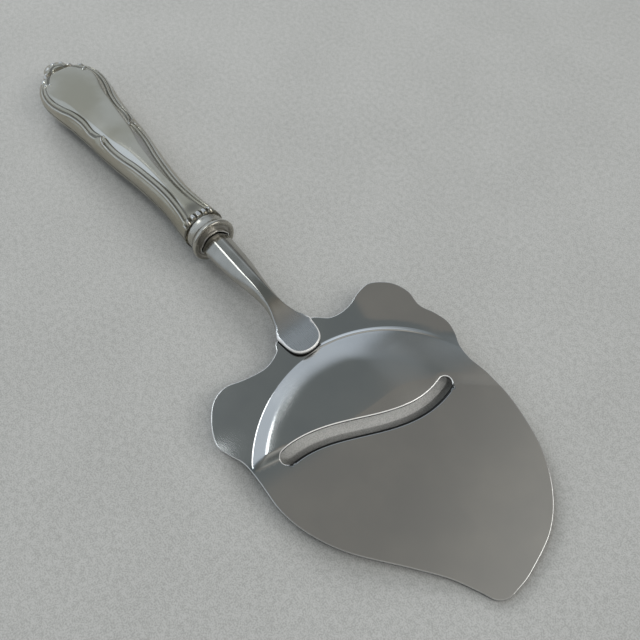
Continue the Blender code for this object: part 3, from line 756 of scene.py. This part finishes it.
SHELL_SHEET, SHELL_SQUARENESS, SHELL_STEPS = 0.9, 2.25, 10
CAVITY_START, CAVITY_SQUARENESS, CAVITY_STRIDE = 7.5, 2.6, 6
BUTT_ROUNDING, BUTT_ROWS, BUTT_FIRST_TURN = 1.2, 8, 0.12
ROW_STEP, SIDE_COLUMNS, THREAD_COLUMNS, FIELD_COLUMNS = 0.3, 16, 20, 28
SEAM_FADE, MOUTH_TAPER, MOUTH_TAPER_RUN = 1.5, 0.3, 0.9
SHARP_ANGLE = math.radians(50)

# The border line of each side, and the beads and grooves along it as height, place across it and half width
REAR_THREAD = (
    (8.0, 5.0), (10.0, 7.0), (13.0, 8.9), (16.5, 9.9), (20.7, 9.9), (25.7, 8.9), (30.3, 7.6), (35.8, 6.8),
    (41.3, 6.9), (45.0, 6.2), (47.0, 5.6),
)
FRONT_THREAD = (
    (45.5, 5.5), (47.0, 5.75), (50.0, 5.85), (53.8, 5.65), (58.0, 5.05), (62.8, 4.15), (68.3, 3.45),
    (73.6, 2.95), (78.7, 2.75), (83.3, 2.95), (87.2, 3.35), (90.6, 3.95), (94.0, 4.7),
)
THREAD_BEADS = ((0.26, 0.52, 0.42), (-0.2, 0.0, 0.3), (0.16, -0.6, 0.42), (-0.14, -1.2, 0.3))
REAR_THREAD_STRETCH = (10.5, 3.0, 43.4, 2.0)
FRONT_THREAD_START, FRONT_THREAD_RUN, THREAD_CHANGE = 46.6, 1.2, 46.2
THREAD_OUTSIDE, THREAD_INSIDE, OUTSIDE_LIMIT, INSIDE_LIMIT = 1.2, 1.6, 0.93, 0.7
THREAD_STEPS, ORNAMENT_STEPS, SLOPE_STEP = 6, 5, 0.2

# Ornaments: lines with their height and half width, round beads, and flutes with a soft hollow behind them
HOOK = ((48.2, 6.2), (47.0, 6.1), (46.1, 5.6), (45.8, 4.9), (46.2, 4.4), (46.9, 4.4))
LEAF_CUT = ((41.6, 6.5), (43.2, 6.2), (44.6, 5.75), (45.5, 5.2))
CROWN_GROOVE = ((4.2, 0.0), (4.9, 1.4), (6.6, 2.6), (8.6, 3.9), (10.4, 5.2), (12.2, 6.2))
ORNAMENT_LINES = ((HOOK, 0.34, 0.5), (LEAF_CUT, -0.2, 0.45), (CROWN_GROOVE, -0.32, 0.7))
SCROLL_BEADS, SCROLL_BEAD_HEIGHT = ((12.4, 7.2, 0.9), (13.8, 6.2, 0.8)), 0.5
CROWN_BEADS = ((2.3, 0.0, 1.35), (3.6, 2.6, 1.35), (6.4, 4.6, 1.35), (9.6, 7.0, 1.35))
CROWN_BEAD_HEIGHT = 0.6
FLUTE_X, FLUTE_RUN, FLUTE_PITCH, FLUTE_SPREAD = 92.0, 1.5, 1.85, 5.2
FLUTE_HEIGHT, FLUTE_DEPTH = 1.3, 0.55
HOLLOW_X, HOLLOW_RUN, HOLLOW_SPREAD, HOLLOW_DEPTH = FLUTE_X - 3.2, 3.8, 4.6, 0.12

# The field between the borders: a flat facet inside each border up to a keel, a low dome between the keels
FIELD_KEEL = (
    (14.0, 8.0), (18.0, 7.9), (21.3, 7.4), (24.0, 6.5), (28.0, 5.7), (33.4, 5.2), (41.0, 4.3), (48.8, 3.5),
    (54.7, 2.3), (58.0, 1.8), (63.4, 1.35), (67.8, 1.05), (73.4, 0.95), (80.0, 1.0), (86.0, 1.2),
    (94.0, 1.5),
)
FACET_ROOM, FACET_LEAST, FACET_DROP, FACET_DROP_FADE = 1.35, 0.3, 0.45, 0.4
KEEL_RISE, KEEL_ROUNDING, DOME_SLOPE = 0.15, 0.2, 0.18
FIELD_STRETCH = (14.0, 7.0, 80.0, 9.0)
# How far the facets inside the borders are lightened, as wear and as a painted highlight, more towards the
# mouth
BRIGHT_FACET_KEEL_FADE, BRIGHT_FACET_FOOT_FADE, BRIGHT_FACET_LEAST, BRIGHT_FACET_START, BRIGHT_FACET_RUN = 0.3, 0.2, 0.4, 25.0, 30.0

SILVER = ((0.38, 0.355, 0.28), (0.48, 0.455, 0.385))
# The facets' lighter silver is partly wear and partly a painted highlight
WORN_AND_HIGHLIGHT_SILVER, TARNISH, BEAD_SILVER = (0.72, 0.71, 0.66), (0.11, 0.105, 0.095), (0.64, 0.63, 0.60)


def thread_relief(x, side, points):
    """Two beads with a groove between them and a finer groove inside, along a border line."""
    table = spline(points, THREAD_STEPS)
    slope = (read(table, x + SLOPE_STEP, 1) - read(table, x - SLOPE_STEP, 1)) / (2.0 * SLOPE_STEP)
    across = (side - read(table, x, 1)) / np.sqrt(1.0 + slope**2)
    return sum(height * bump(across, centre, half) for height, centre, half in THREAD_BEADS)


def shell_relief(x, y):
    """What the die adds to the plain swell of the handle, apart from the facets and dome of its field."""
    side = abs(y)
    rear = stretch(x, *REAR_THREAD_STRETCH)
    front = smooth((x - FRONT_THREAD_START) / FRONT_THREAD_RUN)
    relief = front * thread_relief(x, side, FRONT_THREAD) + rear * thread_relief(x, side, REAR_THREAD)
    for points, height, half in ORNAMENT_LINES:
        relief += height * bump(line_distance(x, side, spline(points, ORNAMENT_STEPS)), 0.0, half)
    for beads, height in ((SCROLL_BEADS, SCROLL_BEAD_HEIGHT), (CROWN_BEADS, CROWN_BEAD_HEIGHT)):
        for bead_x, bead_y, radius in beads:
            relief += height * bump(np.hypot(x - bead_x, side - bead_y), 0.0, radius)
    flutes = FLUTE_HEIGHT * np.abs(np.cos(math.pi * y / FLUTE_PITCH)) - FLUTE_DEPTH
    relief += flutes * bump(x, FLUTE_X, FLUTE_RUN) * (side < FLUTE_SPREAD)
    relief -= HOLLOW_DEPTH * bump(x, HOLLOW_X, HOLLOW_RUN) * bump(y, 0.0, HOLLOW_SPREAD)
    return relief


def swell_at(y, wide, tall, squareness):
    """Height of a plain rounded swell over the seam."""
    return tall * np.maximum(0.0, 1.0 - (abs(y) / wide) ** squareness) ** (1.0 / squareness)


def field_relief(x, y, wide, tall, border):
    """What the facets and the dome of the field add to the plain swell, and how far the facets are
    lightened, as wear and as a painted highlight.
    """
    side = abs(y)
    foot = border - FACET_ROOM
    keel = np.minimum(read(spline(FIELD_KEEL, THREAD_STEPS), x, 1), foot - FACET_LEAST)
    low = swell_at(foot, wide, tall, SHELL_SQUARENESS) - FACET_DROP
    high = swell_at(keel, wide, tall, SHELL_SQUARENESS) + KEEL_RISE
    facet = low + (high - low) * (foot - side) / (foot - keel)
    top = np.maximum(high + 0.5 * DOME_SLOPE * keel, tall)
    dome = top - (top - high) * (side / keel) ** 2
    field = 0.5 * (facet + dome - np.sqrt((facet - dome) ** 2 + KEEL_ROUNDING**2))
    drop = FACET_DROP * (1.0 - smooth((side - foot) / FACET_DROP_FADE))
    added = np.where(side < foot, field - swell_at(y, wide, tall, SHELL_SQUARENESS), -drop)
    reach = stretch(x, *FIELD_STRETCH)
    wear_and_highlight = reach * stretch(side, keel, BRIGHT_FACET_KEEL_FADE, foot - 0.5 * BRIGHT_FACET_FOOT_FADE, BRIGHT_FACET_FOOT_FADE)
    wear_and_highlight = wear_and_highlight * (BRIGHT_FACET_LEAST + (1.0 - BRIGHT_FACET_LEAST) * smooth((x - BRIGHT_FACET_START) / BRIGHT_FACET_RUN))
    return added * reach, wear_and_highlight


def shell_columns(wide, border):
    """Where the points of each row lie across the handle: closest together on the thread."""
    outer = np.minimum(border + THREAD_OUTSIDE, OUTSIDE_LIMIT * wide)
    inner = np.minimum(border - THREAD_INSIDE, INSIDE_LIMIT * wide)
    outer_turn = np.arccos(np.clip(outer / wide, 0.0, 1.0) ** (0.5 * SHELL_SQUARENESS))
    on_side, on_thread, on_field = (
        np.linspace(0.0, 1.0, columns)[None, :] for columns in (SIDE_COLUMNS, THREAD_COLUMNS, FIELD_COLUMNS)
    )
    half = np.hstack([
        wide * np.cos(on_side[:, :-1] * outer_turn) ** (2.0 / SHELL_SQUARENESS),
        outer + (inner - outer) * on_thread[:, :-1],
        inner * (1.0 - on_field),
    ])
    return np.hstack([half, -half[:, -2::-1]])


def quads(number):
    """Faces between neighbouring rows and columns of numbered points."""
    corners = [number[:-1, :-1], number[:-1, 1:], number[1:, 1:], number[1:, :-1]]
    return np.stack(corners, axis=2).reshape(-1, 4).tolist()


def shell_faces(outside, inside):
    """Faces of a half from its numbered points: outside, hollow, butt, flat of the seam and mouth."""
    start = len(outside) - len(inside)
    faces = quads(outside) + quads(inside[:, ::-1])
    faces += [outside[0, ::-1].tolist()]
    faces += quads(np.stack([outside[:start, -1], outside[:start, 0]], axis=1))
    faces += [[*outside[[start - 1, start], 0], *inside[0, [0, -1]], *outside[[start, start - 1], -1]]]
    faces += quads(np.stack([outside[start:, -1], inside[:, -1]], axis=1))
    faces += quads(np.stack([inside[:, 0], outside[start:, 0]], axis=1))
    return faces + [inside[0].tolist(), [*outside[-1], *inside[-1, ::-1]]]


upper_rings = rings_of("handle_shell_upper")
upper_rings = upper_rings[upper_rings[:, 1] > 0.0]
BUTT_X = upper_rings[0, 0]


def handle_shell(name, node, side, finish):
    """One stamped half; side is 1 above the seam and -1 below it."""
    rings = rings_of(node)
    rings[:, 0] -= BUTT_X
    mouth = rings[-1, 0]
    table = spline(rings, SHELL_STEPS)
    seam_column, crown_column = (2, 3) if side > 0 else (3, 2)
    butt = BUTT_ROUNDING * (1.0 - np.cos(np.linspace(BUTT_FIRST_TURN, 0.5 * math.pi, BUTT_ROWS)))
    x = np.concatenate([butt, np.arange(BUTT_ROUNDING + ROW_STEP, mouth, ROW_STEP), [mouth]])[:, None]
    taper = np.sqrt(1.0 - (1.0 - np.minimum(x / BUTT_ROUNDING, 1.0)) ** 2)
    wide = read(table, x, 1) * taper
    seam = read(table, x, seam_column)
    tall = abs(read(table, x, crown_column) - seam) * taper
    rear, front = (read(spline(points, THREAD_STEPS), x, 1) for points in (REAR_THREAD, FRONT_THREAD))
    border = np.where(x < THREAD_CHANGE, rear, front)
    start = int(np.searchsorted(x[:, 0], CAVITY_START))
    y = shell_columns(wide, border)
    x = np.broadcast_to(x, y.shape)
    swell = swell_at(y, wide, tall, SHELL_SQUARENESS)
    at_mouth = smooth((x - mouth + MOUTH_TAPER_RUN) / MOUTH_TAPER_RUN)
    relief = (shell_relief(x, y) - MOUTH_TAPER * at_mouth) * smooth(swell / SEAM_FADE)
    field_rise, wear_and_highlight = field_relief(x, y, wide, tall, border)
    limit = rings[:, 3].max() - seam if side > 0 else seam - rings[:, 2].min()
    rise = np.minimum(swell + relief + field_rise, limit - HAIR)
    points = np.stack([x + BUTT_X, y, seam + side * rise], axis=2)

    picked = np.unique([*range(0, y.shape[1], CAVITY_STRIDE), y.shape[1] - 1])
    inset_wide = wide[start:] - SHELL_SHEET
    inset_y = y[start:, picked] * inset_wide / wide[start:]
    inset_rise = swell_at(inset_y, inset_wide, tall[start:] - SHELL_SHEET, CAVITY_SQUARENESS)
    hollow = np.stack([x[start:, picked] + BUTT_X, inset_y, seam[start:] + side * inset_rise], axis=2)
    outside = np.arange(y.size).reshape(y.shape)
    inside = y.size + np.arange(inset_y.size).reshape(inset_y.shape)
    faces = shell_faces(outside, inside)
    if side < 0:
        faces = [face[::-1] for face in faces]
    shell = make_piece(name, np.vstack([points.reshape(-1, 3), hollow.reshape(-1, 3)]), faces)
    shell.data.set_sharp_from_angle(angle=SHARP_ANGLE)
    for mark_name, values in (("relief", relief), ("facet", wear_and_highlight)):
        mark(shell, mark_name, np.concatenate([values.ravel(), np.zeros(inset_y.size)]))
    shell.data.materials.append(finish)
    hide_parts(node)
    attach(shell, "root")


def silver_finish(name, tarnish):
    """Old polished silver: soft scratches along the handle, tarnish left in the hollows, bright beads, and
    facets lightened as wear and as a painted highlight.
    """
    finish, shader, place = new_finish(name)
    relief, wear_and_highlight = marked(finish, "relief"), marked(finish, "facet")
    scratches = place.stretched(0.12, 1.0, 1.0).noise(7.0, 4.0)
    smears = place.noise(0.055, 3.0)
    hollows = 1.0 - relief.between(-0.14, 0.0)
    polished = relief.between(0.1, 0.35)
    colour = smears.between(0.35, 0.65).blend(*SILVER)
    for share, silver in ((wear_and_highlight, WORN_AND_HIGHLIGHT_SILVER), (hollows * tarnish, TARNISH), (polished, BEAD_SILVER)):
        colour = share.blend(colour, silver)
    roughness = 0.15 + 0.08 * smears + 0.04 * scratches + 0.2 * hollows - 0.05 * polished
    dress(finish, shader, colour, roughness, scratches, 0.01)
    return finish


handle_shell(
    "slicer_handle_lower", "handle_shell_lower", -1,
    silver_finish("lower_silver_finish", tarnish=0.8),
)
handle_shell(
    "slicer_handle_upper", "handle_shell_upper", 1,
    silver_finish("upper_silver_finish", tarnish=0.7),
)

# Collar, mouth cap and shank ring
# A turned silver collar soldered to the mouth of the handle, a thin dished cap that closes it round the
# shank, and a small bead that trims the shank's root. Their axis tips up a little towards the blade.

COLLAR_TILT, MOUTH_SINK = math.radians(2.5), 0.15
COLLAR_PROFILE = (
    (-0.5, 5.3), (-0.5, 5.7), (0.0, 5.88), (0.9, 5.82), (1.8, 5.9), (2.6, 6.12), (3.3, 6.5), (3.9, 6.76),
    (4.3, 6.8), (4.65, 6.66), (4.8, 6.35), (4.76, 6.0), (4.68, 5.75), (4.56, 5.5), (4.4, 5.36), (3.2, 5.3),
    (1.5, 5.3),
)
COLLAR_STEPS, AROUND, ROOT_POINTS = 4, 120, 200
CAP_RADIUS, CAP_FRONT, CAP_SHEET, CAP_DISH, CAP_BULGE, CAP_LOOPS = 5.26, 4.4, 0.8, 1.0, 0.25, 12
RING_REAR, RING_LENGTH, RING_WIDTH, RING_FIT, RING_TURNS, RING_FLATNESS = 3.2, 1.6, 0.3, 0.2, 12, 0.35
CAP_SILVER = ((0.44, 0.425, 0.395), (0.52, 0.505, 0.475))
RING_SILVER = ((0.76, 0.75, 0.72), (0.84, 0.83, 0.81))
COLLAR_SILVER = ((0.44, 0.42, 0.37), (0.52, 0.50, 0.45))
mouth_height = upper_rings[-1, 2] - MOUTH_SINK
turns = np.linspace(0.0, 2.0 * math.pi, AROUND, endpoint=False)


def circle(x, radius):
    """A loop round the mouth's axis; radius may change from point to point."""
    return np.column_stack([np.full(AROUND, x), radius * np.cos(turns), radius * np.sin(turns)])


def root_loop(x, grow):
    """The shank's section at x, grown all round, seen from the mouth's axis."""
    wide = read(shank_table, x, 1)
    y = np.linspace(wide, -wide, ROOT_POINTS)
    at = np.full(ROOT_POINTS, x)
    z = np.concatenate([shank_top(at, y), shank_bottom(at, y[::-1])]) - mouth_height
    y = np.concatenate([y, y[::-1]])
    angle = np.arctan2(z, y)
    order = np.argsort(angle)
    signed_turns = (turns + math.pi) % (2.0 * math.pi) - math.pi
    radius = np.interp(signed_turns, angle[order], np.hypot(y, z)[order], period=2.0 * math.pi)
    return circle(x, radius + grow)


def hoop_piece(name, loops, node, finish):
    """A closed hoop through loops round the mouth's axis, the last joined to the first."""
    cos, sin = math.cos(COLLAR_TILT), math.sin(COLLAR_TILT)
    tip = np.array([[cos, 0.0, -sin], [0.0, 1.0, 0.0], [sin, 0.0, cos]])
    points = np.vstack(loops) @ tip.T + (MOUTH_X, 0.0, mouth_height)
    number = np.arange(len(points)).reshape(len(loops), AROUND)
    number = np.vstack([number, number[:1]])
    hoop = make_piece(name, points, quads(np.hstack([number, number[:, :1]])))
    hoop.data.set_sharp_from_angle(angle=SHARP_ANGLE)
    hoop.data.materials.append(finish)
    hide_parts(node)
    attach(hoop, "root")


def turned_finish(name, silver, roughness):
    """Silver polished on the wheel: fine lines round the axis and soft smears."""
    finish, shader, place = new_finish(name)
    lines = place.stretched(1.0, 0.05, 0.05).noise(6.0, 3.0)
    smears = place.noise(0.3, 3.0)
    colour = smears.between(0.3, 0.7).blend(*silver)
    dress(finish, shader, colour, roughness + 0.08 * smears + 0.05 * lines, lines, 0.008)
    return finish


cap_front = []
for share in np.linspace(0.0, 1.0, CAP_LOOPS):
    loop = circle(CAP_FRONT, CAP_RADIUS) * (1.0 - share) + root_loop(CAP_FRONT, RING_FIT) * share
    cap_front.append(loop + (CAP_BULGE * math.sin(math.pi * share) - CAP_DISH * share, 0.0, 0.0))
cap_rear = [loop - (CAP_SHEET, 0.0, 0.0) for loop in cap_front[::-1]]
hoop_piece(
    "slicer_mouth_cap", cap_front + cap_rear, "mouth_cap",
    turned_finish("cap_silver_finish", CAP_SILVER, roughness=0.25),
)
ring_loops = [root_loop(RING_REAR, RING_FIT)]
for turn in np.linspace(0.0, math.pi, RING_TURNS)[1:-1]:
    loop_x = RING_REAR + 0.5 * RING_LENGTH * (1.0 - math.cos(turn))
    ring_loops.append(root_loop(loop_x, RING_FIT + RING_WIDTH * math.sin(turn) ** RING_FLATNESS))
ring_loops.append(root_loop(RING_REAR + RING_LENGTH, RING_FIT))
hoop_piece(
    "slicer_shank_ring", ring_loops, "shank_ring",
    turned_finish("ring_silver_finish", RING_SILVER, roughness=0.15),
)
hoop_piece(
    "slicer_collar", [circle(x, radius) for x, radius in spline(COLLAR_PROFILE, COLLAR_STEPS)],
    "collar", turned_finish("collar_silver_finish", COLLAR_SILVER, roughness=0.2),
)

# Table, light and camera
# A plain pale table in a soft grey room with one cool window, three more wide lamps and a narrow one for the
# table under the slot. The camera looks down at about 60 degrees. Sizes are in metres.

TABLE_HALF, TABLE_SHINE = 3.0, 0.2
TABLE_STONE = ((0.35, 0.35, 0.335), (0.49, 0.49, 0.475))
LAMP_REACH = 1.2
SLOT_LAMP_REACH, SLOT_LAMP_AZIMUTH, SLOT_LAMP_ELEVATION = 0.6, 170.0, 56.0
SLOT_LAMP_POWER, SLOT_LAMP_RADIUS, SLOT_LAMP_CONE, SLOT_LAMP_BLEND = 6.0, 0.004, math.radians(5.4), 0.7
COOL_CEILING, WARM_CEILING, BRIGHT_CEILING = (0.18, 0.20, 0.205), (0.255, 0.25, 0.235), (0.50, 0.49, 0.46)
PALE_AZIMUTH, PALE_ELEVATION = -60.0, 35.0
NEAR_WALL, FAR_WALL, PALE_WALL = (0.15, 0.15, 0.145), (0.24, 0.245, 0.25), (0.62, 0.69, 0.77)
CAMERA_PLACE, CAMERA_TARGET = Vector((0.0967, -0.0487, 0.1594)), Vector((0.0256, 0.0097, 0.0))
CAMERA_LENS, CAMERA_FILM = 37.1, 36.0

# The directions on the table that point to the top and to the right of the picture
NORTH, EAST, UP = Vector((-0.773, 0.635, 0.0)), Vector((0.635, 0.773, 0.0)), Vector((0.0, 0.0, 1.0))


def table_top():
    """A large flat top with a fine mineral grain."""
    mesh = bpy.data.meshes.new("table")
    corners = [(TABLE_HALF * x, TABLE_HALF * y, 0.0) for x, y in ((-1, -1), (1, -1), (1, 1), (-1, 1))]
    mesh.from_pydata(corners, [], [(0, 1, 2, 3)])
    top = bpy.data.objects.new("table", mesh)
    bpy.context.collection.objects.link(top)
    finish, shader, place = new_finish("table_finish", metallic=0.0)
    shader.inputs["Specular IOR Level"].default_value = TABLE_SHINE
    grain = 0.35 * place.noise(0.7, 3.0) + 0.65 * place.noise(2.8, 1.0)
    clouds = place.noise(0.03, 3.0)
    shade = 0.85 * grain.between(0.35, 0.62) + 0.15 * clouds.between(0.3, 0.7)
    dress(finish, shader, shade.blend(*TABLE_STONE), 0.75 + 0.1 * grain, grain, 0.02)
    mesh.materials.append(finish)
    return top


table_top()


def direction(azimuth, elevation):
    """Unit vector at degrees clockwise from the top of the picture and degrees above the table."""
    azimuth, elevation = math.radians(azimuth), math.radians(elevation)
    level = math.cos(azimuth) * NORTH + math.sin(azimuth) * EAST
    return math.cos(elevation) * level + math.sin(elevation) * UP


def hang(name, device, place, target):
    """Puts a lamp or a camera at a place, looking at a target."""
    hung = bpy.data.objects.new(name, device)
    hung.location = place
    hung.rotation_euler = (target - place).to_track_quat("-Z", "Y").to_euler()
    bpy.context.collection.objects.link(hung)
    return hung


def softbox(name, azimuth, elevation, width, height, brightness, colour, mirrored):
    """A wide lamp that looks at the object; brightness is what a mirror shows of it, if it is mirrored."""
    lamp = bpy.data.lights.new(name, "AREA")
    lamp.shape, lamp.size, lamp.size_y = "RECTANGLE", width, height
    lamp.energy = brightness * width * height * math.pi
    lamp.color = colour
    box = hang(name, lamp, direction(azimuth, elevation) * LAMP_REACH, Vector())
    box.visible_camera = False
    box.visible_glossy = mirrored


# Each lamp's azimuth, elevation, width, height, brightness and colour, and whether the steel mirrors it
for lamp in (
    ("window", -57.0, 61.0, 0.36, 0.36, 4.0, (0.92, 0.97, 1.0), True),
    ("side_lamp", 100.0, 38.0, 0.7, 0.5, 3.0, (1.0, 0.99, 0.96), True),
    ("ceiling_lamp", 134.0, 62.0, 0.32, 0.42, 4.5, (1.0, 0.98, 0.95), False),
    ("low_lamp", -30.0, 22.0, 0.9, 0.4, 9.0, (0.98, 0.99, 1.0), False),
):
    softbox(*lamp)

narrow_lamp = bpy.data.lights.new("slot_lamp", "SPOT")
narrow_lamp.energy, narrow_lamp.shadow_soft_size = SLOT_LAMP_POWER, SLOT_LAMP_RADIUS
narrow_lamp.spot_size, narrow_lamp.spot_blend = SLOT_LAMP_CONE, SLOT_LAMP_BLEND
slot_middle = Vector((NECK_X + SLOT_X, 0.5 * (SLOT_LEFT + SLOT_RIGHT), FOLD_HEIGHT)) * MM
slot_lamp_place = slot_middle + SLOT_LAMP_REACH * direction(SLOT_LAMP_AZIMUTH, SLOT_LAMP_ELEVATION)
slot_lamp = hang("slot_lamp", narrow_lamp, slot_lamp_place, slot_middle)
slot_lamp.visible_glossy = False

world = bpy.data.worlds.new("room")
world.use_nodes = True
room_tree = world.node_tree
towards = Tone.node(room_tree, "TexCoord", {}, {}, "Generated")


def facing(way):
    """How far a direction in the room goes this way."""
    return Tone.node(room_tree, "VectorMath", {"operation": "DOT_PRODUCT"}, {0: towards, 1: way}, "Value")


height = facing(UP)
ceiling = facing(EAST - 0.9 * NORTH).between(-0.16, -0.10).blend(COOL_CEILING, WARM_CEILING)
ceiling = facing(EAST - 0.5 * NORTH).between(0.1, 0.5).blend(ceiling, BRIGHT_CEILING)
walls = facing(NORTH).between(-0.3, 0.5).blend(NEAR_WALL, FAR_WALL)
around = height.between(0.25, 0.7).blend(walls, ceiling)
pale = facing(direction(PALE_AZIMUTH, PALE_ELEVATION)).between(0.34, 0.71)
pale = pale * (1.0 - height.between(0.72, 0.87))
around = pale.blend(around, PALE_WALL)
room_tree.links.new(around.socket, room_tree.nodes["Background"].inputs["Color"])
bpy.context.scene.world = world

camera_data = bpy.data.cameras.new("camera")
camera_data.sensor_width, camera_data.lens = CAMERA_FILM, CAMERA_LENS
bpy.context.scene.camera = hang("camera", camera_data, CAMERA_PLACE, CAMERA_TARGET)
bpy.context.scene.view_settings.view_transform = "Standard"
